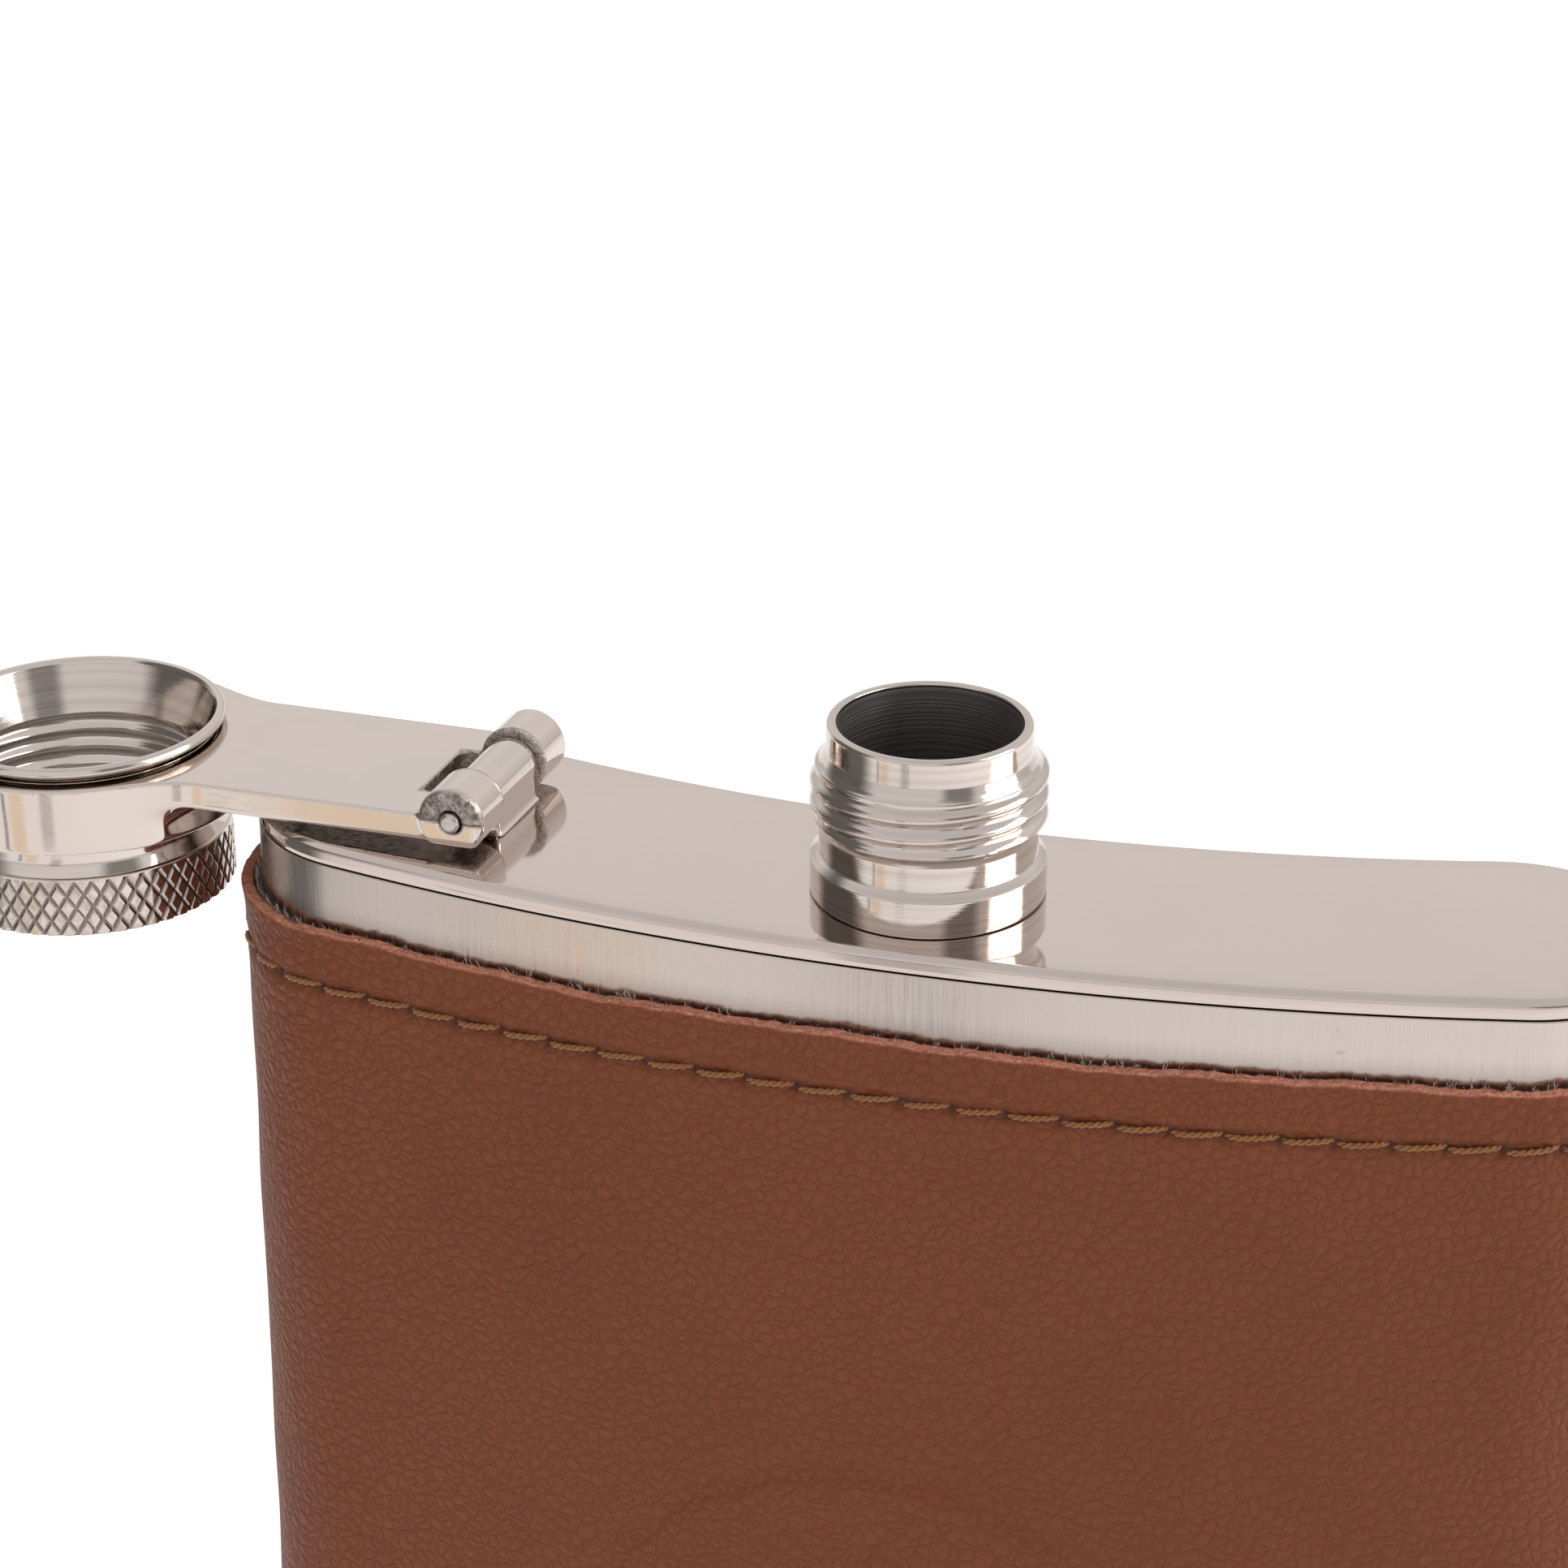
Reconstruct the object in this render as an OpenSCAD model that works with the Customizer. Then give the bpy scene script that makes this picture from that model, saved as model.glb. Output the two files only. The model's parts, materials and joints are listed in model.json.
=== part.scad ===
// Hip flask with a leather wrap and a captive screw cap on a hinged arm.
// Millimetres. +Z is up, the front face looks along -Y.
// The origin is on the base, straight below the middle of the neck.
// It is drawn with the lid swung right open.

/* [Steel body] */
// Height of the steel body, from the base to the flat top
body_h = 120; // [100:1:150]
// Width of the steel body
body_w = 95.7; // [90:0.1:110]
// Thickness of the steel body at its middle
body_t = 20.6; // [20.2:0.1:20.8]
// Radius of the bulging front
front_r = 173; // [160:1:180]
// Radius of the rounded narrow ends
end_r = 10.54; // [10.5:0.01:10.6]
// Thickness of the steel sheet
sheet = 0.6; // [0.5:0.05:0.8]
// Height of the rim of each end plate
rim_h = 1.2; // [1:0.1:2]
// Open seam between an end plate and the wall
seam = 0.15; // [0.1:0.05:0.3]

/* [Wrap] */
// Bare steel left at each end of the wrap
bare_h = 5.8; // [4:0.1:10]
// Thickness of the woven backing
backing_t = 0.3; // [0.2:0.05:0.4]
// Thickness of the leather
leather_t = 0.85; // [0.6:0.05:1.2]
// Gap left between the two ends of the leather, at the back
butt_gap = 0.3; // [0.2:0.1:0.6]
// Distance from the leather's edge to its row of stitches
stitch_inset = 4; // [3:0.1:6]
// Distance from one stitch to the next
stitch_pitch = 3.5; // [3:0.1:5]

/* [Neck] */
// Height of the neck above the flat top
neck_h = 11.8; // [11.8:0.1:12.2]
// Radius of the plain rim of the neck
rim_r = 6.7; // [6.5:0.05:6.7]
// Radius of the bore of the neck
mouth_r = 6; // [5.5:0.05:6.1]
// Radius of the neck at its thread crests and its foot
thread_r = 7.75; // [7.4:0.05:7.75]
// Distance from one thread crest to the next
thread_pitch = 1.7; // [1.5:0.05:1.8]

/* [Hinge] */
// Distance from the neck's axis to the hinge pin
hinge_reach = 30.9; // [30.5:0.1:31.5]
// Height of the hinge pin above the flat top
pin_h = 2.5; // [2.5:0.05:2.7]
// Radius of the hinge pin
pin_r = 0.7; // [0.6:0.05:0.8]
// Running clearance round the pin in the arm
pin_play = 0.06; // [0.03:0.01:0.09]
// Turn of the hinge in plan, which follows the curve of the body
hinge_yaw = 3.6; // [0:0.1:4]
// Downward tilt of the arm when it is open
open_tilt = 1.2; // [0:0.1:1.3]

/* [Arm and cap] */
// Thickness of the arm
arm_t = 2; // [1.6:0.1:2.1]
// Width of the arm
arm_w = 14.4; // [13:0.1:15]
// Sideways offset of the arm from its eye
arm_offset = 0.7; // [0:0.1:1]
// Outer radius of the eye at the arm's end
eye_r = 11.2; // [11:0.1:11.5]
// Height of the wall round the eye
eye_h = 4.75; // [4.5:0.05:4.8]
// Radius of the knurled cap
cap_r = 10.2; // [10:0.1:10.5]
// Height of the knurled band
knurl_h = 4; // [3.5:0.1:4]
// Outer radius of the flared lip of the cap
lip_r = 10.2; // [10:0.1:10.5]

/* [Hidden] */
$fn = 96;

// Number of straight steps in the front, the back and each end of the outline
front_steps = 32;
back_steps = 28;
end_steps = 24;
// A gap that keeps two touching pieces of one body from sharing a sliver
skin_gap = 0.02;

// Section of the body: a front arc, a back arc and an arc round each end, all tangent
front_y = -10.2;
back_y = front_y + body_t;
end_x = body_w / 2 - end_r;
front_cy = front_y + front_r;
end_y = front_cy - sqrt(pow(front_r - end_r, 2) - pow(end_x, 2));
end_drop = end_y - back_y;
back_r = (pow(end_x, 2) + pow(end_drop, 2) - pow(end_r, 2)) / (2 * (end_r + end_drop));
back_cy = back_y + back_r;
front_a = atan2(end_x, front_cy - end_y);
back_a = atan2(end_x, back_cy - end_y);
end_sweep = 180 + back_a - front_a;

// Wrap
wrap_lo = bare_h;
wrap_hi = body_h - bare_h;
leather_in = backing_t + skin_gap;
leather_out = backing_t + leather_t + skin_gap;
stitch_len = 2.6;
stitch_wide = 0.6;
stitch_tall = 0.4;
bridge_len = 3.2;
bridge_pitch = 4;

// Neck
spigot_r = mouth_r + 0.85;
spigot_depth = 2;
foot_h = 2.7;
groove_r = 7.25;
groove_top = 4.6;
thread_top = 8.9;
mouth_chamfer = 0.3;

// Hinge
knuckle_r = 2.35;
post_r = 2.05;
post_w = 6.4;
knuckle_gap = 0.2;
pin_over = 0.25;
arm_above = 0.27;
notch_reach = 3.8;
notch_corner = 0.8;

// Cap, measured from the face of the arm, down into the cap as the lid lies open
eye_bore = 9.6;
eye_play = 0.25;
sleeve_out = eye_bore - eye_play;
sleeve_root = 8.75;
sleeve_crest = 8.3;
lip_gap = 0.3;
lip_t = 0.8;
lip_in = 9.5;
cone_depth = 2.4;
sleeve_depth = 9.5;
head_top = eye_h + 0.25;
knurl_top = 7.2;
knurl_bottom = knurl_top + knurl_h;
gasket_top = sleeve_depth + 0.1;
gasket_t = 0.8;
head_end = 11.6;

// ---- Section and outline of the body ----

// Section of the body, grown outwards by grow or shrunk where it is negative
module outline(grow = 0) {
    polygon(concat(
        front_arc(grow),
        end_arc(grow, end_x, front_a - 90),
        back_arc(grow),
        end_arc(grow, -end_x, 90 - back_a)
    ));
}

// Each arc leaves out its last point, which is the next arc's first
function front_arc(grow) = [
    for (i = [0 : front_steps - 1])
        let (a = -front_a + 2 * front_a * i / front_steps)
            [(front_r + grow) * sin(a), front_cy - (front_r + grow) * cos(a)]
];
function end_arc(grow, x, start) = [
    for (i = [0 : end_steps - 1])
        let (a = start + end_sweep * i / end_steps)
            [x + (end_r + grow) * cos(a), end_y + (end_r + grow) * sin(a)]
];
function back_arc(grow) = [
    for (i = [0 : back_steps - 1])
        let (a = back_a - 2 * back_a * i / back_steps)
            [(back_r - grow) * sin(a), back_cy - (back_r - grow) * cos(a)]
];

// A wall that follows the body, from one growth to another
module sleeve_wall(inner, outer, low, high) {
    translate([0, 0, low])
        linear_extrude(high - low)
            difference() {
                outline(outer);
                outline(inner);
            }
}

module slab(grow, low, high) {
    translate([0, 0, low])
        linear_extrude(high - low)
            outline(grow);
}

// Lengths of the front, end and back stretches of the outline
function front_len(grow) = 2 * front_a * PI / 180 * (front_r + grow);
function end_len(grow) = end_sweep * PI / 180 * (end_r + grow);
function back_len(grow) = 2 * back_a * PI / 180 * (back_r - grow);
function outline_len(grow) = front_len(grow) + 2 * end_len(grow) + back_len(grow);

// Point at distance s round the outline, counted from the left end of the front,
// as x, y and the direction that the surface faces
function round_point(c, r, a) = [c[0] + r * cos(a), c[1] + r * sin(a), a];
function back_point(a, grow) =
    [(back_r - grow) * sin(a), back_cy - (back_r - grow) * cos(a), 90 + a];
function outline_point(s, grow) =
    s < front_len(grow)
        ? round_point([0, front_cy], front_r + grow, -90 - front_a + s / (front_r + grow) * 180 / PI)
    : s < front_len(grow) + end_len(grow)
        ? round_point([end_x, end_y], end_r + grow,
            -90 + front_a + (s - front_len(grow)) / (end_r + grow) * 180 / PI)
    : s < front_len(grow) + end_len(grow) + back_len(grow)
        ? back_point(back_a - (s - front_len(grow) - end_len(grow)) / (back_r - grow) * 180 / PI, grow)
    : round_point([-end_x, end_y], end_r + grow,
        90 - back_a + (s - front_len(grow) - end_len(grow) - back_len(grow)) / (end_r + grow) * 180 / PI);

// ---- Steel body ----

module body_wall() {
    color("gainsboro")
        sleeve_wall(-sheet, 0, rim_h + seam, body_h - rim_h - seam);
}

// An end plate as a shallow pressed cup, with a spigot that centres it in the wall.
// It is drawn as the base and the top plate is its mirror.
module end_cup() {
    round_1 = 0.2;
    round_2 = 0.5;
    spigot_h = 2.6;
    difference() {
        union() {
            slab(-round_2, 0, 0.2);
            slab(-round_1, 0.2, 0.5);
            slab(0, 0.5, rim_h);
        }
        slab(-sheet, sheet, rim_h + 1);
    }
    sleeve_wall(-2 * sheet - skin_gap, -sheet - skin_gap, sheet, rim_h + spigot_h);
}

module base_plate() {
    color("gainsboro")
        end_cup();
}

module top_plate() {
    color("gainsboro")
        difference() {
            translate([0, 0, body_h])
                mirror([0, 0, 1])
                    end_cup();
            translate([0, 0, body_h - spigot_depth])
                cylinder(h = 2 * spigot_depth, r = spigot_r);
        }
}

// ---- Neck ----

function crest(z, r, top_r) = [[r, z], [top_r, z + 0.35], [top_r, z + 0.75], [r, z + 1.1]];

module neck() {
    crests = [for (z = [groove_top : thread_pitch : thread_top - 1]) each crest(z, groove_r, thread_r)];
    color("silver")
        translate([0, 0, body_h])
            rotate_extrude()
                polygon(concat(
                    [
                        [mouth_r, -spigot_depth], [spigot_r - skin_gap, -spigot_depth],
                        [spigot_r - skin_gap, 0], [thread_r - 0.05, 0],
                        [thread_r - 0.05, foot_h - 0.3], [groove_r, foot_h]
                    ],
                    crests,
                    [
                        [groove_r, thread_top], [rim_r, thread_top + 0.3],
                        [rim_r, neck_h - 0.15], [rim_r - 0.15, neck_h],
                        [mouth_r + mouth_chamfer, neck_h], [mouth_r, neck_h - mouth_chamfer]
                    ]
                ));
}

// ---- Hinge ----

// The hinge frame: its origin is the middle of the pin, its y axis runs along the pin,
// and its -x axis points away from the neck
module at_hinge() {
    translate([-hinge_reach * cos(hinge_yaw), hinge_reach * sin(hinge_yaw), body_h + pin_h])
        rotate([0, 0, -hinge_yaw])
            children();
}

// A bar along the pin, r in radius and length long, centred on y
module along_pin(r, length, y = 0) {
    translate([0, y, 0])
        rotate([90, 0, 0])
            cylinder(h = length, r = r, center = true);
}

module hinge_bracket() {
    color("silver")
        at_hinge()
            translate([0, arm_offset, 0])
                difference() {
                    union() {
                        along_pin(post_r, post_w);
                        translate([-post_r, -post_w / 2, -pin_h])
                            cube([2 * post_r, post_w, pin_h]);
                    }
                    along_pin(pin_r, post_w + 1);
                }
}

module hinge_pin() {
    half = arm_w / 2 + pin_over;
    color("gray")
        at_hinge()
            translate([0, arm_offset, 0])
                rotate([90, 0, 0])
                    rotate_extrude()
                        polygon([
                            [0, -half], [0.4, -half + 0.08], [pin_r, -half + 0.3],
                            [pin_r, half - 0.3], [0.4, half - 0.08], [0, half]
                        ]);
}

// ---- Arm with its eye ----

// The arm frame: the hinge frame turned by the tilt of the open lid
module at_arm() {
    at_hinge()
        rotate([0, -open_tilt, 0])
            children();
}

module arm_bar() {
    union() {
        translate([-hinge_reach, -arm_w / 2, arm_above - arm_t])
            cube([hinge_reach, arm_w, arm_t]);
        along_pin(knuckle_r, arm_w);
    }
}

// The slot between the two knuckles, with round inner corners
module arm_notch() {
    half = post_w / 2 + knuckle_gap;
    tall = 3 * knuckle_r;
    translate([-notch_reach + notch_corner, -half, -tall / 2])
        cube([2 * notch_reach, 2 * half, tall]);
    translate([-notch_reach, -half + notch_corner, -tall / 2])
        cube([notch_reach, 2 * (half - notch_corner), tall]);
    for (side = [-1, 1])
        translate([-notch_reach + notch_corner, side * (half - notch_corner), -tall / 2])
            cylinder(h = tall, r = notch_corner);
}

module lid_arm() {
    color("silver")
        at_arm()
            difference() {
                union() {
                    translate([0, arm_offset, 0])
                        difference() {
                            arm_bar();
                            arm_notch();
                            along_pin(pin_r + pin_play, arm_w + 1);
                        }
                    translate([-hinge_reach, 0, arm_above - eye_h])
                        cylinder(h = eye_h, r = eye_r);
                }
                translate([-hinge_reach, 0, arm_above - eye_h - 1])
                    cylinder(h = eye_h + 2, r = eye_bore);
            }
}

// ---- Cap ----

// The cap frame: its origin is the middle of the eye on the arm's face, its z axis points
// out of the cap's mouth
module at_cap() {
    at_arm()
        translate([-hinge_reach, 0, arm_above])
            children();
}

module cap_sleeve() {
    lip_top = lip_gap + lip_t;
    ridge_z = [for (z = [cone_depth + 0.6 : thread_pitch : sleeve_depth - 1.2]) z];
    ridges = [for (z = ridge_z) each [
        [sleeve_root, -z], [sleeve_crest, -z - 0.35], [sleeve_crest, -z - 0.75], [sleeve_root, -z - 1.1]
    ]];
    color("silver")
        at_cap()
            rotate_extrude()
                polygon(concat(
                    [[lip_in, lip_top]],
                    [[sleeve_root, -cone_depth]],
                    ridges,
                    [
                        [sleeve_root, -sleeve_depth], [sleeve_out, -sleeve_depth],
                        [sleeve_out, lip_gap - 0.1], [lip_r - 0.2, lip_gap],
                        [lip_r, lip_gap + 0.2], [lip_r, lip_top - 0.2], [lip_r - 0.2, lip_top]
                    ]
                ));
}

module cap_head() {
    bore = sleeve_out + skin_gap;
    neck_r = bore + 0.4;
    color("silver")
        at_cap()
            rotate_extrude()
                polygon([
                    [bore, -head_top], [neck_r, -head_top], [neck_r, -head_top - 1],
                    [cap_r - 0.25, -knurl_top + 0.35], [cap_r, -knurl_top],
                    [cap_r, -knurl_bottom + 0.3], [cap_r - 0.5, -knurl_bottom],
                    [cap_r - 1.6, -head_end + 0.12], [0, -head_end],
                    [0, -gasket_top - gasket_t], [bore, -gasket_top - gasket_t]
                ]);
}

module cap_gasket() {
    color("whitesmoke")
        at_cap()
            translate([0, 0, -gasket_top - gasket_t + skin_gap])
                cylinder(h = gasket_t - skin_gap, r = sleeve_out - 0.1);
}

// ---- Wrap ----

module butt_slot(low, high) {
    translate([-butt_gap / 2, 0, low - 1])
        cube([butt_gap, back_y + 10, high - low + 2]);
}

module leather_backing() {
    color("dimgray")
        sleeve_wall(skin_gap, backing_t, wrap_lo, wrap_hi);
}

module leather_wrap() {
    color("sienna")
        difference() {
            sleeve_wall(leather_in, leather_out, wrap_lo, wrap_hi);
            butt_slot(wrap_lo, wrap_hi);
        }
}

// One row of stitches round the wrap at height z, each a short bar on the leather
module stitch_row(z) {
    length = outline_len(leather_out);
    count = floor(length / stitch_pitch);
    color("darkgoldenrod")
        for (i = [0 : count - 1]) {
            spot = outline_point((i + 0.5) * length / count, leather_out);
            translate([spot[0], spot[1], z])
                rotate([0, 0, spot[2]])
                    translate([skin_gap, -stitch_len / 2, -stitch_wide / 2])
                        cube([stitch_tall, stitch_len, stitch_wide]);
        }
}

module top_stitching() {
    stitch_row(wrap_hi - stitch_inset);
}

module bottom_stitching() {
    stitch_row(wrap_lo + stitch_inset);
}

// Stitches that bridge the butt joint, up the middle of the back
module back_seam_stitching() {
    low = wrap_lo + stitch_inset + bridge_pitch;
    high = wrap_hi - stitch_inset - bridge_pitch / 2;
    color("darkgoldenrod")
        for (z = [low : bridge_pitch : high])
            translate([-bridge_len / 2, back_y + leather_out + skin_gap, z - stitch_wide / 2])
                cube([bridge_len, stitch_tall, stitch_wide]);
}

body_wall();
top_plate();
base_plate();
neck();
hinge_bracket();
hinge_pin();
lid_arm();
cap_head();
cap_sleeve();
cap_gasket();
leather_backing();
leather_wrap();
top_stitching();
bottom_stitching();
back_seam_stitching();
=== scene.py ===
import json
import math

import bmesh
import bpy
import numpy as np
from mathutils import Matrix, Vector


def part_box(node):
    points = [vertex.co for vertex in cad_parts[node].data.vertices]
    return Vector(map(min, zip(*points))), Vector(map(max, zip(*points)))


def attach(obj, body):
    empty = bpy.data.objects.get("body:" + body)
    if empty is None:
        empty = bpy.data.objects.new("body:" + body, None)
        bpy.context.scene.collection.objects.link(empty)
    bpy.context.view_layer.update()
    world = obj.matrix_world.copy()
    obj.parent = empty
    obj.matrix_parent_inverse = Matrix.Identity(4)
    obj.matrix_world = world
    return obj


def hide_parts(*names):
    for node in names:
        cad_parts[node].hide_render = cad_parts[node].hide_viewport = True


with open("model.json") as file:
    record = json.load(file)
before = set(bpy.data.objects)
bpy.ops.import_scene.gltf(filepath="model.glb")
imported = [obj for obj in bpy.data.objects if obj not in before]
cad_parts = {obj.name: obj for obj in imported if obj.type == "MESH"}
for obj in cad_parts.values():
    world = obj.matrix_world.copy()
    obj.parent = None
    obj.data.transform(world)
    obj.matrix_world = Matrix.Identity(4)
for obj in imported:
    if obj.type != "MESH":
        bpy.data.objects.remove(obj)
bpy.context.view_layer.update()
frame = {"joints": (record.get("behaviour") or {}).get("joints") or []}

# Lengths below are in millimetres unless a name says otherwise.
MM = 0.001
TAU = 2 * math.pi
random = np.random.default_rng(7)


def box_mm(node):
    low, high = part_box(node)
    return np.array(low) / MM, np.array(high) / MM


# ---- Sizes of the body, from the frame where it holds them ----

WALL_LOW, WALL_HIGH = box_mm("body_wall")
TOP_Z = box_mm("top_plate")[1][2]
WRAP_LOW, WRAP_HIGH = box_mm("leather_wrap")
WRAP_LO, WRAP_HI = WRAP_LOW[2], WRAP_HIGH[2]
BACKING_OUT = box_mm("leather_backing")[1][0] - WALL_HIGH[0]
LEATHER_OUT = WRAP_HIGH[0] - WALL_HIGH[0]
SKIN_GAP = 0.02
LEATHER_IN = BACKING_OUT + SKIN_GAP
SHEET = 0.6
RIM_H = 1.2
BUTT_GAP = 0.3
STITCH_INSET = 4.0
STITCH_PITCH = 3.5
BRIDGE_PITCH = 4.0

FRONT_R = 173.0
END_R = 10.54
BODY_T = 20.6
END_X = WALL_HIGH[0] - END_R
FRONT_CY = WALL_LOW[1] + FRONT_R
END_Y = FRONT_CY - math.sqrt((FRONT_R - END_R) ** 2 - END_X ** 2)
BACK_Y = WALL_LOW[1] + BODY_T
END_DROP = END_Y - BACK_Y
BACK_R = (END_X ** 2 + END_DROP ** 2 - END_R ** 2) / (2 * (END_R + END_DROP))
BACK_CY = BACK_Y + BACK_R
FRONT_A = math.atan2(END_X, FRONT_CY - END_Y)
BACK_A = math.atan2(END_X, BACK_CY - END_Y)

# The outline's four arcs: centre, radius, first and last angle, and the side that faces out
ARCS = [
    (0, FRONT_CY, FRONT_R, -math.pi / 2 - FRONT_A, -math.pi / 2 + FRONT_A, 1),
    (END_X, END_Y, END_R, -math.pi / 2 + FRONT_A, math.pi / 2 + BACK_A, 1),
    (0, BACK_CY, BACK_R, -math.pi / 2 + BACK_A, -math.pi / 2 - BACK_A, -1),
    (-END_X, END_Y, END_R, math.pi / 2 - BACK_A, 3 * math.pi / 2 - FRONT_A, 1),
]
ARC_LENGTHS = [r * abs(last - first) for _, _, r, first, last, _ in ARCS]
PERIMETER = sum(ARC_LENGTHS)
FRONT_MIDDLE_S = ARC_LENGTHS[0] / 2
BACK_MIDDLE_S = ARC_LENGTHS[0] + ARC_LENGTHS[1] + ARC_LENGTHS[2] / 2


def outline(s):
    """Points and outward directions at distances s round the steel body's outline."""
    s = np.asarray(s, float) % PERIMETER
    point, out = np.zeros(s.shape + (2,)), np.zeros(s.shape + (2,))
    start = 0.0
    for (cx, cy, r, first, last, side), length in zip(ARCS, ARC_LENGTHS):
        here = (s >= start) & (s <= start + length)
        angle = first + (last - first) * (s[here] - start) / length
        ray = np.stack([np.cos(angle), np.sin(angle)], -1)
        point[here] = np.array([cx, cy]) + r * ray
        out[here] = side * ray
        start += length
    return point, out


def on_outline(s, grow, z):
    """Points at distance s round the body, grown outwards by grow, at height z."""
    s, grow, z = np.broadcast_arrays(s, grow, z)
    point, out = outline(s)
    return np.concatenate([point + out * grow[..., None], z[..., None]], -1)


# ---- Frames of the hinge and the cap, from the joints ----

JOINTS = {j["name"]: j for j in frame["joints"]}
PIN_DIR = np.array(JOINTS["lid_hinge"]["axis"])
PIN_AT = np.array(JOINTS["lid_hinge"]["pos_m"]) / MM
CAP_DIR = np.array(JOINTS["cap_spin"]["axis"])
CAP_AT = np.array(JOINTS["cap_spin"]["pos_m"]) / MM
UP = np.array([0.0, 0.0, 1.0])
HINGE_TURN = np.stack([np.cross(PIN_DIR, UP), PIN_DIR, UP], 1)
ARM_TURN = np.stack([np.cross(PIN_DIR, CAP_DIR), PIN_DIR, CAP_DIR], 1)


def in_place(points, turn, at):
    """Points drawn in a local frame, moved into the row frame."""
    return points @ turn.T + at


# ---- Mesh tools ----


def make_object(name, points, faces, sharp_deg=35, attributes=None):
    """A smooth-shaded object from points in millimetres and arrays of faces of one size each."""
    mesh = bpy.data.meshes.new(name)
    faces = faces if isinstance(faces, list) else [faces]
    sizes = np.concatenate([np.full(len(f), f.shape[1]) for f in faces])
    corners = np.concatenate([f.ravel() for f in faces]).astype(np.int32)
    mesh.vertices.add(len(points))
    mesh.vertices.foreach_set("co", (points * MM).astype(np.float32).ravel())
    mesh.loops.add(len(corners))
    mesh.loops.foreach_set("vertex_index", corners)
    mesh.polygons.add(len(sizes))
    starts = np.concatenate([[0], np.cumsum(sizes)[:-1]])
    mesh.polygons.foreach_set("loop_start", starts.astype(np.int32))
    mesh.update(calc_edges=True)
    shaped = bmesh.new()
    shaped.from_mesh(mesh)
    bmesh.ops.recalc_face_normals(shaped, faces=shaped.faces)
    shaped.to_mesh(mesh)
    shaped.free()
    mesh.shade_smooth()
    mesh.set_sharp_from_angle(angle=math.radians(sharp_deg))
    obj = bpy.data.objects.new(name, mesh)
    bpy.context.scene.collection.objects.link(obj)
    for key, values in (attributes or {}).items():
        add_attribute(obj, key, values)
    return obj


def add_attribute(obj, key, values):
    layer = obj.data.attributes.new(key, "FLOAT", "POINT")
    layer.data.foreach_set("value", np.asarray(values, np.float32).ravel())


def grid_quads(rows, cols, close_rows=False, close_cols=True):
    r, c = np.meshgrid(
        np.arange(rows if close_rows else rows - 1),
        np.arange(cols if close_cols else cols - 1),
        indexing="ij",
    )
    r2, c2 = (r + 1) % rows, (c + 1) % cols
    return np.stack([r * cols + c, r * cols + c2, r2 * cols + c2, r2 * cols + c], -1).reshape(-1, 4)


def quads_between(a, b):
    """Quads between two closed rings that have as many points as each other."""
    return np.stack([a, np.roll(a, -1), np.roll(b, -1), b], -1)


def rounded(corners, steps=6, closed=True):
    """A profile whose corners, given as x, y and radius, are rounded by true arcs."""
    out = []
    for i, (x, y, radius) in enumerate(corners):
        here = np.array([x, y], float)
        at_end = not closed and i in (0, len(corners) - 1)
        if radius == 0 or at_end:
            out.append(here)
            continue
        before = np.array(corners[i - 1][:2]) - here
        after = np.array(corners[(i + 1) % len(corners)][:2]) - here
        room = 0.48 * min(np.linalg.norm(before), np.linalg.norm(after))
        before, after = before / np.linalg.norm(before), after / np.linalg.norm(after)
        half = math.acos(np.clip(before @ after, -1, 1)) / 2
        reach = min(radius / math.tan(half), room)
        middle = (before + after) / np.linalg.norm(before + after)
        centre = here + middle * reach / math.cos(half)
        a, b = here + before * reach - centre, here + after * reach - centre
        turn = math.pi - 2 * half
        for t in np.linspace(0, 1, steps + 1):
            mixed = (math.sin((1 - t) * turn) * a + math.sin(t * turn) * b) / math.sin(turn)
            out.append(centre + mixed)
    return np.array(out)


def filled_in(profile, step, closed=True):
    """The same profile with extra points, so that none are further apart than step."""
    out = []
    ends = np.roll(profile, -1, 0) if closed else profile[1:]
    for a, b in zip(profile, ends):
        count = max(1, int(math.ceil(np.linalg.norm(b - a) / step)))
        out.extend(a + (b - a) * k / count for k in range(count))
    if not closed:
        out.append(profile[-1])
    return np.array(out)


def profile_lengths(profile):
    return np.concatenate([[0], np.cumsum(np.linalg.norm(np.diff(profile, axis=0), axis=1))])


def revolved(name, profile, turn, at, count=192, closed=True, relief=None, sharp_deg=35):
    """A turned piece. An open profile starts and ends on the axis. relief gives the radius."""
    angle = np.arange(count) * TAU / count
    body = profile if closed else profile[1:-1]
    radius = np.repeat(body[:, :1], count, 1)
    height = np.repeat(body[:, 1:], count, 1)
    if relief is not None:
        radius = relief(radius, height, angle[None, :])
    points = np.stack([radius * np.cos(angle), radius * np.sin(angle), height], -1).reshape(-1, 3)
    faces = [grid_quads(len(body), count, close_rows=closed)]
    along = np.repeat(profile_lengths(body), count)
    if not closed:
        first, last = len(points), len(points) + 1
        points = np.concatenate([points, [[0, 0, profile[0, 1]], [0, 0, profile[-1, 1]]]])
        near, next_near = np.arange(count), (np.arange(count) + 1) % count
        far = (len(body) - 1) * count
        faces.append(np.stack([np.full(count, first), next_near, near], -1))
        faces.append(np.stack([np.full(count, last), far + near, far + next_near], -1))
        along = np.concatenate([along, [0, along[-1]]])
    return make_object(name, in_place(points, turn, at), faces, sharp_deg, {"along": along})


def shell_round_body(name, profile, count=720):
    """A closed profile of grow and height, carried round the body's outline."""
    s = np.arange(count) * PERIMETER / count
    points = on_outline(s[None, :], profile[:, :1], profile[:, 1:])
    return make_object(name, points.reshape(-1, 3), grid_quads(len(profile), count, True))


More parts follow.
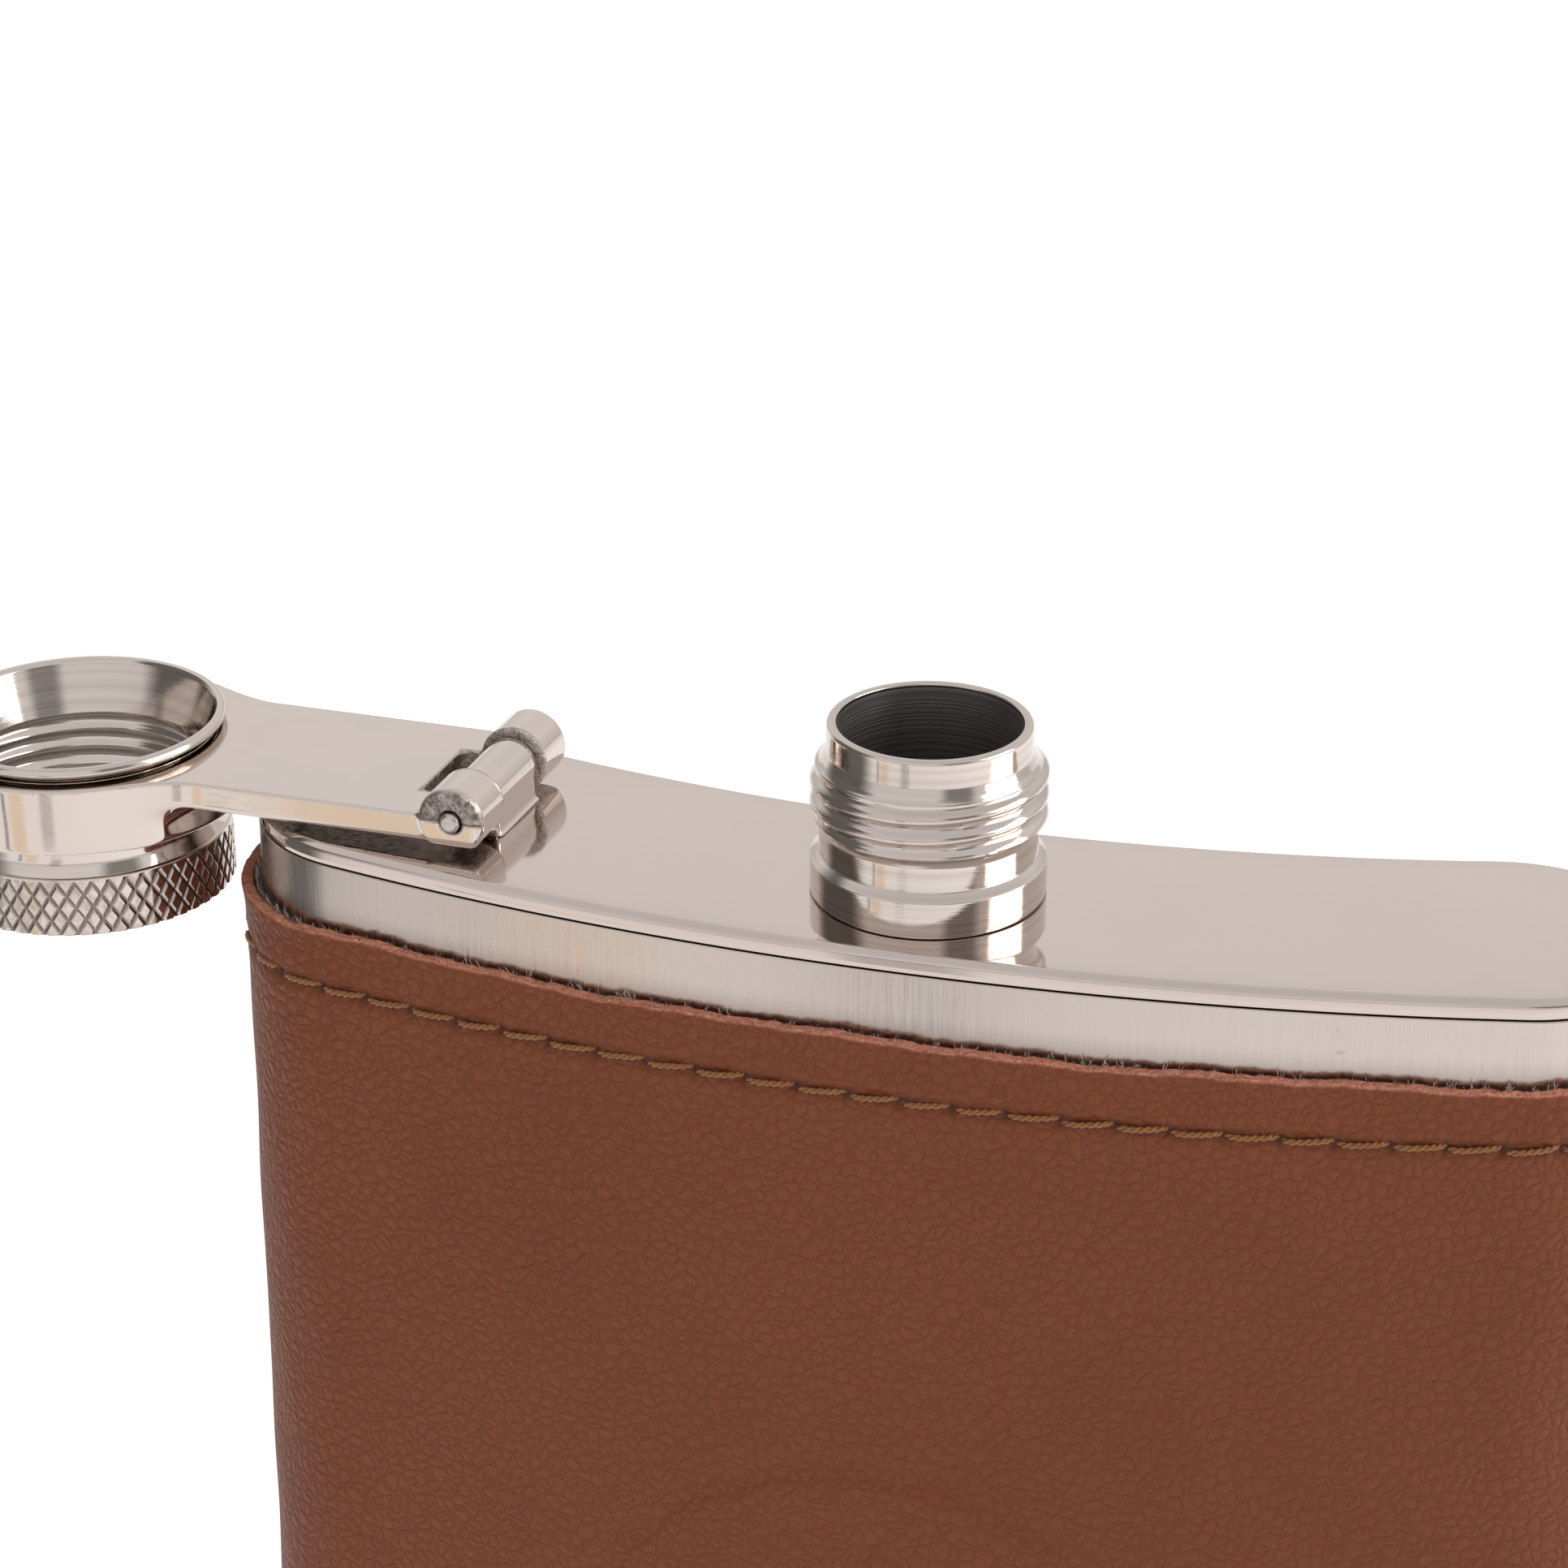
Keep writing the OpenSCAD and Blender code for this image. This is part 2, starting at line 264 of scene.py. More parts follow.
def tube(path, radius, sides=6):
    """Points and quads of a closed-ended tube along a path."""
    path = np.asarray(path, float)
    along = np.gradient(path, axis=0)
    along /= np.linalg.norm(along, axis=1)[:, None]
    side = np.cross(along, [0.13, 0.21, 0.97])
    side /= np.linalg.norm(side, axis=1)[:, None]
    up = np.cross(along, side)
    angle = np.arange(sides) * TAU / sides
    ring = side[:, None] * np.cos(angle)[:, None] + up[:, None] * np.sin(angle)[:, None]
    points = path[:, None] + ring * np.broadcast_to(radius, len(path))[:, None, None]
    rows = len(path)
    quads = grid_quads(rows, sides)
    return points.reshape(-1, 3), quads


def joined(parts):
    """Points and faces of several point and face arrays as one, faces grouped by size."""
    points, grouped, offset = [], {}, 0
    for part_points, part_faces in parts:
        points.append(part_points)
        grouped.setdefault(part_faces.shape[1], []).append(part_faces + offset)
        offset += len(part_points)
    return np.concatenate(points), [np.concatenate(group) for group in grouped.values()]


# ---- Solids from distance fields, for castings with rounded edges and fillets ----


def smooth_min(a, b, k):
    h = np.maximum(k - np.abs(a - b), 0) / k
    return np.minimum(a, b) - h * h * k / 4


def both(a, b, radius):
    """Where both fields are inside, with an edge of that radius."""
    outside = np.hypot(np.maximum(a + radius, 0), np.maximum(b + radius, 0))
    return np.minimum(np.maximum(a, b) + radius, 0) + outside - radius


def plan_box(x, y, x_low, x_high, y_half):
    dx = np.maximum(x_low - x, x - x_high)
    dy = np.abs(y) - y_half
    return np.minimum(np.maximum(dx, dy), 0) + np.hypot(np.maximum(dx, 0), np.maximum(dy, 0))


def between(v, low, high):
    return np.maximum(low - v, v - high)


CELL_CORNERS = [(i, j, k) for i in (0, 1) for j in (0, 1) for k in (0, 1)]


def surface_of(field, low, high, step):
    """Points and quads of the surface where the field is zero, one point to a crossed cell."""
    axes = [np.arange(low[k] - 2 * step, high[k] + 3 * step, step) for k in range(3)]
    value = field(*np.meshgrid(*axes, indexing="ij", sparse=True))
    inside = value < 0
    shape = tuple(n - 1 for n in value.shape)
    corners = [inside[tuple(slice(o, o + n) for o, n in zip(c, shape))] for c in CELL_CORNERS]
    total = sum(c.astype(np.int8) for c in corners)
    cell = np.argwhere((total > 0) & (total < 8))
    number = np.full(shape, -1, np.int64)
    number[tuple(cell.T)] = np.arange(len(cell))
    origin = np.array([a[0] for a in axes])
    points = origin + (cell + mean_crossing(value, cell)) * step
    quads = [quads_across(axis, inside, number) for axis in range(3)]
    return settled(points, field), np.concatenate(quads)


def mean_crossing(value, cell):
    """The middle of the places where the surface cuts a cell's edges, measured in cells."""
    crossing, weight = np.zeros((len(cell), 3)), np.zeros(len(cell))
    for a in CELL_CORNERS:
        for axis in range(3):
            if a[axis]:
                continue
            b = tuple(1 if k == axis else a[k] for k in range(3))
            va, vb = value[tuple((cell + a).T)], value[tuple((cell + b).T)]
            cut = (va < 0) != (vb < 0)
            t = np.where(cut, va / np.where(cut, va - vb, 1), 0)
            where = np.array(a, float) + t[:, None] * (np.array(b) - np.array(a))
            crossing[cut] += where[cut]
            weight[cut] += 1
    return crossing / weight[:, None]


def quads_across(axis, inside, number):
    """A quad for each grid edge along axis that the surface cuts, joining the four cells round it."""
    u, v = (axis + 1) % 3, (axis + 2) % 3
    first = [slice(1, -1)] * 3
    first[axis] = slice(0, -1)
    second = list(first)
    second[axis] = slice(1, None)
    a, b = inside[tuple(first)], inside[tuple(second)]
    edge = np.argwhere(a != b)
    starts_inside = a[tuple(edge.T)]
    edge = edge + np.array([0 if k == axis else 1 for k in range(3)])
    around = []
    for du, dv in ((-1, -1), (0, -1), (0, 0), (-1, 0)):
        spot = edge.copy()
        spot[:, u] += du
        spot[:, v] += dv
        around.append(number[tuple(spot.T)])
    quad = np.stack(around, -1)
    quad[~starts_inside] = quad[~starts_inside][:, ::-1]
    return quad


def settled(points, field, rounds=4, reach=0.005):
    """Points moved along the field's slope until they lie on its surface."""
    for _ in range(rounds):
        value = field(*points.T)
        slope = np.stack(
            [
                (field(*(points + reach * np.eye(3)[k]).T) - field(*(points - reach * np.eye(3)[k]).T))
                / (2 * reach)
                for k in range(3)
            ],
            -1,
        )
        size = np.maximum((slope ** 2).sum(-1), 0.05)
        move = np.clip(value / size, -0.08, 0.08)
        points = points - slope * move[:, None]
    return points


def waves(*terms):
    """A smooth made-up unevenness: a sum of sines, each an amplitude and a phase."""
    return sum(amplitude * np.sin(phase) for amplitude, phase in terms)


# ---- Material tools ----


class Nodes:
    """Short helpers for building one material's node tree."""

    def __init__(self, name):
        self.material = bpy.data.materials.new(name)
        self.material.use_nodes = True
        self.tree = self.material.node_tree
        self.shader = self.tree.nodes["Principled BSDF"]

    def add(self, kind, inputs=None, **settings):
        node = self.tree.nodes.new(kind)
        for key, value in settings.items():
            setattr(node, key, value)
        for key, value in (inputs or {}).items():
            self.put(node.inputs[key], value)
        return node

    def put(self, target, value):
        """Gives an input another node's output, or else a plain value."""
        if isinstance(value, bpy.types.NodeSocket):
            self.link(value, target)
        else:
            target.default_value = value

    def link(self, source, target):
        self.tree.links.new(source, target)

    def set(self, **values):
        for key, value in values.items():
            self.shader.inputs[key.replace("_", " ")].default_value = value

    def position(self, scale=(1, 1, 1)):
        """The point's place in the row frame in millimetres, stretched by scale."""
        place = self.add("ShaderNodeTexCoord").outputs["Object"]
        inputs = {"Vector": place, "Scale": [v / MM for v in scale]}
        return self.add("ShaderNodeMapping", inputs).outputs["Vector"]

    def attribute(self, name):
        return self.add("ShaderNodeAttribute", attribute_name=name).outputs["Fac"]

    def noise(self, vector, scale, detail=3.0, roughness=0.5, distortion=0.0):
        inputs = {
            "Vector": vector, "Scale": scale, "Detail": detail,
            "Roughness": roughness, "Distortion": distortion,
        }
        return self.add("ShaderNodeTexNoise", inputs).outputs["Fac"]

    def line_noise(self, along, scale, detail):
        inputs = {"W": along, "Scale": scale, "Detail": detail}
        return self.add("ShaderNodeTexNoise", inputs, noise_dimensions="1D").outputs["Fac"]

    def cells(self, vector, scale):
        """Distance to the nearest border between randomly scattered cells."""
        inputs = {"Vector": vector, "Scale": scale, "Randomness": 1.0}
        node = self.add("ShaderNodeTexVoronoi", inputs, feature="DISTANCE_TO_EDGE")
        return node.outputs["Distance"]

    def math(self, operation, a, b=0.0):
        node = self.add("ShaderNodeMath", operation=operation)
        for socket, value in zip(node.inputs, (a, b)):
            self.put(socket, value)
        return node.outputs["Value"]

    def range(self, value, low, high, to_low=0.0, to_high=1.0, smooth=True):
        inputs = {
            "Value": value, "From Min": low, "From Max": high, "To Min": to_low, "To Max": to_high,
        }
        kind = "SMOOTHSTEP" if smooth else "LINEAR"
        return self.add("ShaderNodeMapRange", inputs, interpolation_type=kind).outputs["Result"]

    def mix(self, factor, a, b):
        node = self.add("ShaderNodeMix", data_type="RGBA")
        self.put(node.inputs[0], factor)
        colour_in = [i for i in node.inputs if i.type == "RGBA"]
        for socket, value in zip(colour_in, (a, b)):
            self.put(socket, (*value, 1.0) if isinstance(value, tuple) else value)
        return [o for o in node.outputs if o.type == "RGBA"][0]

    def moved(self, vector, by, amount):
        """The vector pushed about by a noise's colour."""
        push = self.add("ShaderNodeVectorMath", operation="MULTIPLY_ADD")
        self.link(by, push.inputs[0])
        push.inputs[1].default_value = (amount,) * 3
        self.link(vector, push.inputs[2])
        return push.outputs["Vector"]

    def noise_colour(self, vector, scale):
        inputs = {"Vector": vector, "Scale": scale, "Detail": 1.0}
        return self.add("ShaderNodeTexNoise", inputs).outputs["Color"]

    def bump(self, height, depth, strength=1.0, under=None):
        """A bump whose full height is depth millimetres."""
        inputs = {"Height": height, "Distance": depth * MM, "Strength": strength}
        if under is not None:
            inputs["Normal"] = under
        return self.add("ShaderNodeBump", inputs).outputs["Normal"]

    def colour(self, value):
        self.link(value, self.shader.inputs["Base Color"])

    def roughness(self, value):
        self.link(value, self.shader.inputs["Roughness"])

    def normal(self, value):
        self.link(value, self.shader.inputs["Normal"])


STEEL = (0.655, 0.572, 0.528)
STEEL_SHADE = (0.635, 0.553, 0.51)
NICKEL = (0.68, 0.595, 0.54)


def polished_plate():
    n = Nodes("polished_plate")
    n.set(Metallic=1.0)
    place = n.position()
    smudge = n.noise(place, 0.05, 4, 0.6)
    n.colour(n.mix(n.range(smudge, 0.35, 0.7), STEEL, STEEL_SHADE))
    scratch = n.noise(n.position((0.25, 3.0, 3.0)), 1.2, 4, 0.7)
    n.roughness(n.math("ADD", n.range(smudge, 0.4, 0.75, 0.045, 0.11), n.range(scratch, 0.55, 0.8, 0, 0.06)))
    waviness = n.bump(n.noise(place, 0.09, 1), 0.012)
    n.normal(n.bump(scratch, 0.0012, 1.0, waviness))
    return n.material


def brushed_body():
    n = Nodes("brushed_body")
    n.set(Metallic=1.0, Anisotropic=0.35)
    lines = n.noise(n.position((5.0, 5.0, 0.12)), 1.4, 5, 0.7)
    place = n.position()
    stain = n.noise(n.position((1, 1, 1.6)), 0.22, 5, 0.65, 0.4)
    tint = n.mix(n.range(lines, 0.35, 0.7), (0.565, 0.50, 0.462), (0.605, 0.54, 0.50))
    # Painted shade: the steel is darkened over the last 2.6 mm above the leather's top edge, streaked along
    # the brush lines.
    split = n.add("ShaderNodeSeparateXYZ", {"Vector": place})
    streaked = n.math("ADD", split.outputs["Z"], n.math("MULTIPLY", lines, 1.2))
    shade_near_leather = n.range(streaked, WRAP_HI + 2.6, WRAP_HI + 0.4)
    tint = n.mix(n.math("MULTIPLY", shade_near_leather, 0.6), tint, (0.30, 0.25, 0.225))
    dark = n.range(stain, 0.66, 0.80)
    n.colour(n.mix(dark, tint, (0.30, 0.27, 0.25)))
    n.roughness(n.range(lines, 0.3, 0.75, 0.17, 0.31))
    ripple = n.bump(n.noise(place, 0.12, 1), 0.02)
    n.normal(n.bump(lines, 0.0016, 1.0, ripple))
    return n.material


def turned_steel(name, base, shade, rough_low, rough_high, depth):
    """Steel with fine turning marks that follow the profile."""
    n = Nodes(name)
    n.set(Metallic=1.0)
    along = n.attribute("along")
    fine = n.line_noise(along, 9.0, 3)
    broad = n.line_noise(along, 1.7, 2)
    patch = n.noise(n.position(), 0.5, 4, 0.6)
    inside = n.attribute("inside")
    turned = n.mix(n.range(broad, 0.3, 0.75), base, shade)
    # Painted shade: inside the bore the steel is given a darker grey, ringed by the fine turning marks.
    shaded_bore = n.mix(n.range(fine, 0.35, 0.65), (0.25, 0.235, 0.23), (0.47, 0.44, 0.425))
    n.colour(n.mix(inside, turned, shaded_bore))
    wear = n.math("MULTIPLY", n.range(fine, 0.3, 0.75), n.range(patch, 0.25, 0.7, 0.4, 1.0))
    worn = n.range(wear, 0, 1, rough_low, rough_high, smooth=False)
    n.roughness(n.math("ADD", worn, n.math("MULTIPLY", inside, 0.34)))
    n.normal(n.bump(fine, depth))
    return n.material


def polished_casting():
    n = Nodes("polished_casting")
    n.set(Metallic=1.0)
    place = n.position()
    rough = n.attribute("raw_cast")
    cloud = n.noise(place, 0.16, 3)
    mottle = n.noise(place, 1.9, 5, 0.7, 0.6)
    clean = n.mix(n.range(cloud, 0.35, 0.7), NICKEL, (0.655, 0.59, 0.545))
    cast = n.mix(n.range(mottle, 0.38, 0.62), (0.22, 0.19, 0.17), (0.62, 0.57, 0.53))
    n.colour(n.mix(rough, clean, cast))
    polish = n.range(n.noise(n.position((0.4, 2.5, 2.5)), 1.3, 4, 0.7), 0.35, 0.8, 0.05, 0.13)
    n.roughness(n.math("ADD", polish, n.math("MULTIPLY", rough, 0.22)))
    ripple = n.bump(n.noise(place, 0.16, 1), 0.06)
    n.normal(n.bump(n.math("MULTIPLY", mottle, rough), 0.3, 1.0, ripple))
    return n.material


def knurled_steel():
    n = Nodes("knurled_steel")
    n.set(Metallic=1.0)
    place = n.position()
    groove, band = n.attribute("groove"), n.attribute("band")
    stain = n.noise(place, 1.1, 5, 0.7, 0.5)
    scuffed = n.math("MULTIPLY", n.range(stain, 0.62, 0.35), band)
    land = n.mix(scuffed, (0.66, 0.595, 0.55), (0.47, 0.41, 0.375))
    # Painted shade: the knurl's grooves are darkened to a dark grey, most where they are deepest.
    n.colour(n.mix(n.range(groove, 0.15, 0.8), land, (0.24, 0.20, 0.18)))
    worn = n.math("ADD", n.math("MULTIPLY", scuffed, 0.12), 0.08)
    n.roughness(n.math("ADD", worn, n.math("MULTIPLY", groove, 0.15)))
    scratch = n.math("MULTIPLY", n.noise(place, 1.6, 4, 0.7), band)
    n.normal(n.bump(scratch, 0.008, 0.6))
    return n.material


def pin_steel():
    n = Nodes("pin_steel")
    n.set(Metallic=1.0)
    place = n.position()
    cloud = n.noise(place, 1.2, 4, 0.6)
    n.colour(n.mix(n.range(cloud, 0.3, 0.7), (0.50, 0.46, 0.44), (0.62, 0.57, 0.54)))
    n.roughness(n.range(cloud, 0.3, 0.7, 0.22, 0.36))
    n.normal(n.bump(n.noise(n.position((1, 6, 1)), 2.0, 3), 0.015, 0.6))
    return n.material


def rubber_seal():
    n = Nodes("gasket")
    place = n.position()
    cloud = n.noise(place, 0.6, 4, 0.6)
    n.colour(n.mix(n.range(cloud, 0.3, 0.7), (0.74, 0.72, 0.67), (0.83, 0.81, 0.77)))
    n.roughness(n.range(cloud, 0.3, 0.7, 0.4, 0.55))
    n.set(Subsurface_Weight=0.1)
    n.normal(n.bump(n.noise(place, 4.0, 3), 0.02, 0.5))
    return n.material


def pebbled_leather():
    n = Nodes("leather")
    place = n.position()
    shifted = n.moved(place, n.noise_colour(place, 0.9), 0.7)
    big = n.cells(shifted, 1.1)
    small = n.cells(n.moved(place, n.noise_colour(place, 1.6), 0.4), 2.5)
    furrow = n.math("ADD", n.math("MULTIPLY", n.range(big, 0.0, 0.15), 0.7),
                    n.math("MULTIPLY", n.range(small, 0.0, 0.2), 0.3))
    dome = n.range(big, 0.0, 0.45)
    # Painted shade: the grain's creases are given a darker brown than the pebbles.
    line = n.math("ADD", n.math("MULTIPLY", n.range(big, 0.0, 0.11), 0.6),
                  n.math("MULTIPLY", n.range(small, 0.0, 0.13), 0.4))
    pores = n.noise(place, 6.0, 4, 0.65)
    cloud = n.noise(place, 0.05, 4, 0.55)
    skin = n.mix(n.range(cloud, 0.3, 0.7), (0.168, 0.043, 0.0135), (0.190, 0.0495, 0.0165))
    sunk = n.mix(line, (0.138, 0.034, 0.0115), skin)
    # Painted shade: the leather is darkened nearly to black in the needle holes and along the furrow that
    # the thread pulls in.
    stitch_shade = n.mix(n.attribute("stitch_shade"), sunk, (0.028, 0.009, 0.004))
    raw = n.attribute("raw")
    fibre = n.mix(n.range(pores, 0.35, 0.65), (0.38, 0.125, 0.075), (0.60, 0.28, 0.19))
    n.colour(n.mix(raw, stitch_shade, fibre))
    gloss = n.math("ADD", n.range(pores, 0.3, 0.7, 0.42, 0.52), n.range(furrow, 0.0, 1.0, 0.12, 0.0))
    n.roughness(n.math("ADD", gloss, n.math("MULTIPLY", raw, 0.35)))
    n.set(Specular_IOR_Level=0.22)
    relief = n.bump(furrow, 0.032)
    relief = n.bump(dome, 0.09, 1.0, relief)
    n.normal(n.bump(pores, 0.02, 0.6, relief))
    return n.material


def woven_backing():
    n = Nodes("backing")
    weave = n.noise(n.position((2.2, 2.2, 0.8)), 1.6, 4, 0.7)
    n.colour(n.mix(n.range(weave, 0.35, 0.65), (0.06, 0.046, 0.04), (0.21, 0.18, 0.16)))
    n.set(Roughness=0.95, Sheen_Weight=0.4, Sheen_Roughness=0.5)
    n.normal(n.bump(weave, 0.12))
    return n.material


def fray_fibre():
    n = Nodes("fray")
    cloud = n.noise(n.position(), 0.9, 3)
    n.colour(n.mix(n.range(cloud, 0.35, 0.65), (0.36, 0.29, 0.25), (0.70, 0.62, 0.55)))
    n.set(Roughness=0.95, Sheen_Weight=0.5, Sheen_Roughness=0.5)
    return n.material


def sewing_thread():
    n = Nodes("thread")
    along = n.noise(n.position((1.5, 1.5, 5.0)), 3.0, 3, 0.6)
    n.colour(n.mix(n.range(along, 0.3, 0.7), (0.17, 0.055, 0.009), (0.35, 0.135, 0.023)))
    n.roughness(n.range(along, 0.3, 0.7, 0.42, 0.6))
    n.set(Sheen_Weight=0.35, Sheen_Roughness=0.4)
    n.normal(n.bump(along, 0.04, 0.8))
    return n.material


# ---- Steel body ----


def build_body_wall():
    low, high, edge = WALL_LOW[2], WALL_HIGH[2], 0.09
    profile = rounded([(0, low, edge), (0, high, edge), (-SHEET, high, 0.1), (-SHEET, low, 0.1)], 4)
    return shell_round_body("steel_body_wall", profile)


def plate_profile():
    """The pressed end plate's rim as grow and depth below its flat face, from the flat face
    round the edge and back up inside."""
    return rounded(
        [
            (-1.55, 0, 0), (-0.62, 0.03, 0.5), (-0.06, 0.3, 0.34), (0.03, RIM_H - 0.3, 0.3),
            (-0.05, RIM_H + 0.04, 0.07), (-SHEET, RIM_H, 0.1), (-SHEET, SHEET, 0.2), (-1.55, SHEET, 0),
        ],
        5, closed=False,
    )


def build_end_plate(name, face_z, direction, hole_r=0.0):
    """A pressed plate whose flat face is at face_z and whose rim points along direction."""
    count = 720
    s = np.arange(count) * PERIMETER / count
    rings = [on_outline(s, grow, face_z + direction * depth) for grow, depth in plate_profile()]
    points = np.concatenate(rings)
    quads, tris, inner_edges = [grid_quads(len(rings), count)], [], []
    toward = np.arctan2(rings[0][:, 1], rings[0][:, 0])
    inner = (hole_r or 3.0) * np.stack([np.cos(toward), np.sin(toward), 0 * toward], -1)
    middles = [np.array([0.0, 0.0, face_z + direction * depth]) for depth in (0, SHEET)]
    last_start = (len(rings) - 1) * count
    for middle, start, ring in ((middles[0], 0, rings[0]), (middles[1], last_start, rings[-1])):
        circle = middle + inner
        previous = np.arange(count) + start
        for share in (0.5, 1.0):
            here = np.arange(count) + len(points)
            points = np.concatenate([points, ring + (circle - ring) * share])
            quads.append(quads_between(previous, here))
            previous = here
        inner_edges.append(previous)
    if hole_r:
        quads.append(quads_between(*inner_edges))
    else:
        for edge, middle in zip(inner_edges, middles):
            centre = np.full(count, len(points))
            points = np.concatenate([points, middle[None]])
            tris.append(np.stack([edge, np.roll(edge, -1), centre], -1))
    faces = [np.concatenate(group) for group in (quads, tris) if group]
    return make_object(name, points, faces, 40)


# ---- Neck ----

NECK_HIGH = box_mm("neck")[1][2] - TOP_Z
CREST_R = 7.72
GROOVE_R = 7.1
THREAD_ROOT_R = 7.22
NECK_BORE_R = 6.0
PLATE_HOLE_R = 6.87
THREAD_LOW, THREAD_HIGH, PITCH = 4.9, 9.0, 1.4


def neck_relief(radius, height, angle):
    """Adds two and a half turns of a rounded thread to the plain part of the neck."""
    outer = radius > GROOVE_R - 0.05
    turns = height / PITCH - angle / TAU
    wave = (0.5 + 0.5 * np.cos(TAU * turns)) ** 0.8
    fade = np.clip((height - THREAD_LOW) / 0.7, 0, 1) * np.clip((THREAD_HIGH + 0.15 - height) / 0.55, 0, 1)
    fade = fade * fade * (3 - 2 * fade)
    return radius + np.where(outer, (CREST_R - THREAD_ROOT_R) * wave * fade, 0)


def build_neck():
    count = 320
    foot = box_mm("neck")[1][0] - 0.05
    corners = [
        (NECK_BORE_R, -2.0, 0), (6.8, -2.0, 0), (6.8, -0.02, 0), (7.52, -0.02, 0), (7.52, 0.1, 0),
        (foot, 0.16, 0.06), (foot, 2.4, 0.1), (GROOVE_R, 2.9, 0.12), (GROOVE_R, 4.6, 0.2),
        (THREAD_ROOT_R, 5.0, 0.2), (THREAD_ROOT_R, 9.0, 0.2), (6.98, 9.35, 0.3), (6.70, 9.95, 0.3),
        (6.66, NECK_HIGH, 0.36), (6.02, NECK_HIGH - 0.04, 0.14),
        (NECK_BORE_R, NECK_HIGH - 0.5, 0.2),
    ]
    profile = filled_in(rounded(corners, 6), 0.11)
    at = np.array([0, 0, TOP_Z])
    neck = revolved("threaded_neck", profile, np.eye(3), at, count, relief=neck_relief)
    add_attribute(neck, "inside", np.repeat(profile[:, 0] < NECK_BORE_R + 0.01, count))
    return neck


# ---- Hinge ----

ARM_W = 14.4
ARM_OFFSET = 0.7
ARM_T = 2.0
ARM_ABOVE = 0.27
KNUCKLE_R = 2.35
POST_R = 2.05
POST_W = 6.4
KNUCKLE_GAP = 0.2
NOTCH_REACH = 3.8
PIN_R = 0.7
PIN_H = PIN_AT[2] - TOP_Z
HINGE_REACH = float(np.linalg.norm((CAP_AT - PIN_AT) - CAP_DIR * ARM_ABOVE))
EYE_R = 11.2
EYE_H = 4.75
EYE_BORE = 9.6


def post_field(x, y, z):
    """The post: a barrel round the pin on a foot that is brazed to the plate."""
    y = y - ARM_OFFSET
    barrel = both(np.hypot(x, z) - POST_R + 0.22, np.abs(y) - POST_W / 2, 0.14)
    foot = both(np.abs(x) - 1.7, np.abs(y) - POST_W / 2 + 0.05, 0.2)
    foot = both(foot, z - 0.3, 0.1)
    plate = z + PIN_H
    body = smooth_min(barrel, foot, 0.35)
    body = smooth_min(body, both(plate, plan_box(x, y, -2.5, 2.5, POST_W / 2 + 0.35), 0.05), 0.7)
    bore = PIN_R - np.hypot(x, z)
    return np.maximum(np.maximum(body, bore), -PIN_H - z)


def build_hinge_bracket():
    points, quads = surface_of(post_field, (-2.9, -3.2, -PIN_H), (2.9, 4.6, POST_R), 0.1)
    points = in_place(points, HINGE_TURN, PIN_AT)
    return make_object("hinge_post", points, quads, 50, {"raw_cast": np.zeros(len(points))})


def build_hinge_pin():
    half, over = ARM_W / 2, 0.45
    corners = [
        (0, -half - over, 0), (0.5, -half - over + 0.06, 0.2), (PIN_R, -half - over + 0.24, 0.2),
        (PIN_R, half + over - 0.24, 0.2), (0.5, half + over - 0.06, 0.2), (0, half + over, 0),
    ]
    profile = rounded(corners, 5, closed=False)
    turn = HINGE_TURN @ np.array([[1, 0, 0], [0, 0, 1], [0, -1, 0]], float)
    at = PIN_AT + PIN_DIR * ARM_OFFSET
    return revolved("hinge_pin_rod", profile, turn, at, 48, closed=False)


def arm_field(x, y, z):
    """The arm in its own frame: a bar with an eye and its collar, and two knuckles."""
    side = y - ARM_OFFSET
    round_eye = np.hypot(x + HINGE_REACH, y) - EYE_R
    bar = plan_box(x, side, -HINGE_REACH, 1.6, ARM_W / 2)
    plan = smooth_min(round_eye, bar, 3.2)
    low = ARM_ABOVE - ARM_T
    uneven = waves((0.5, 1.9 * x + 0.6), (0.3, 4.3 * x), (0.2, 7.1 * x + 1.0), (0.25, 3.1 * y))
    nick = 0.05 * np.maximum(uneven, 0) * np.exp(-((z - ARM_ABOVE) / 0.16) ** 2)
    slab = both(plan + nick * (side < 0), between(z, ARM_ABOVE - EYE_H, ARM_ABOVE), 0.16)
    under = smooth_min(round_eye - 0.6, low - z, 1.5)
    body = both(slab, under, 0.5)
    behind_pin = both(np.hypot(x, z) - 2.42, -x - 0.2, 0.05)
    body = np.where(x > -0.2, np.maximum(body, behind_pin), body)
    knuckle = both(np.hypot(x, z) - KNUCKLE_R, np.abs(side) - ARM_W / 2 + 0.06, 0.3)
    beneath = np.where(x > -12, low - 0.2 - z, -1.0)
    body = both(smooth_min(body, knuckle, 0.35), beneath, 0.4)
    notch = plan_box(x, side, -NOTCH_REACH + 0.8, 6.0, POST_W / 2 + KNUCKLE_GAP - 0.8) - 0.8
    body = both(body, -notch, 0.16)
    body = both(body, EYE_BORE - np.hypot(x + HINGE_REACH, y), 0.2)
    sunk = 0.1 * np.clip((np.abs(side) - ARM_W / 2 + 0.3) / 0.3, 0, 1)
    return np.maximum(body, PIN_R + 0.04 + sunk - np.hypot(x, z))


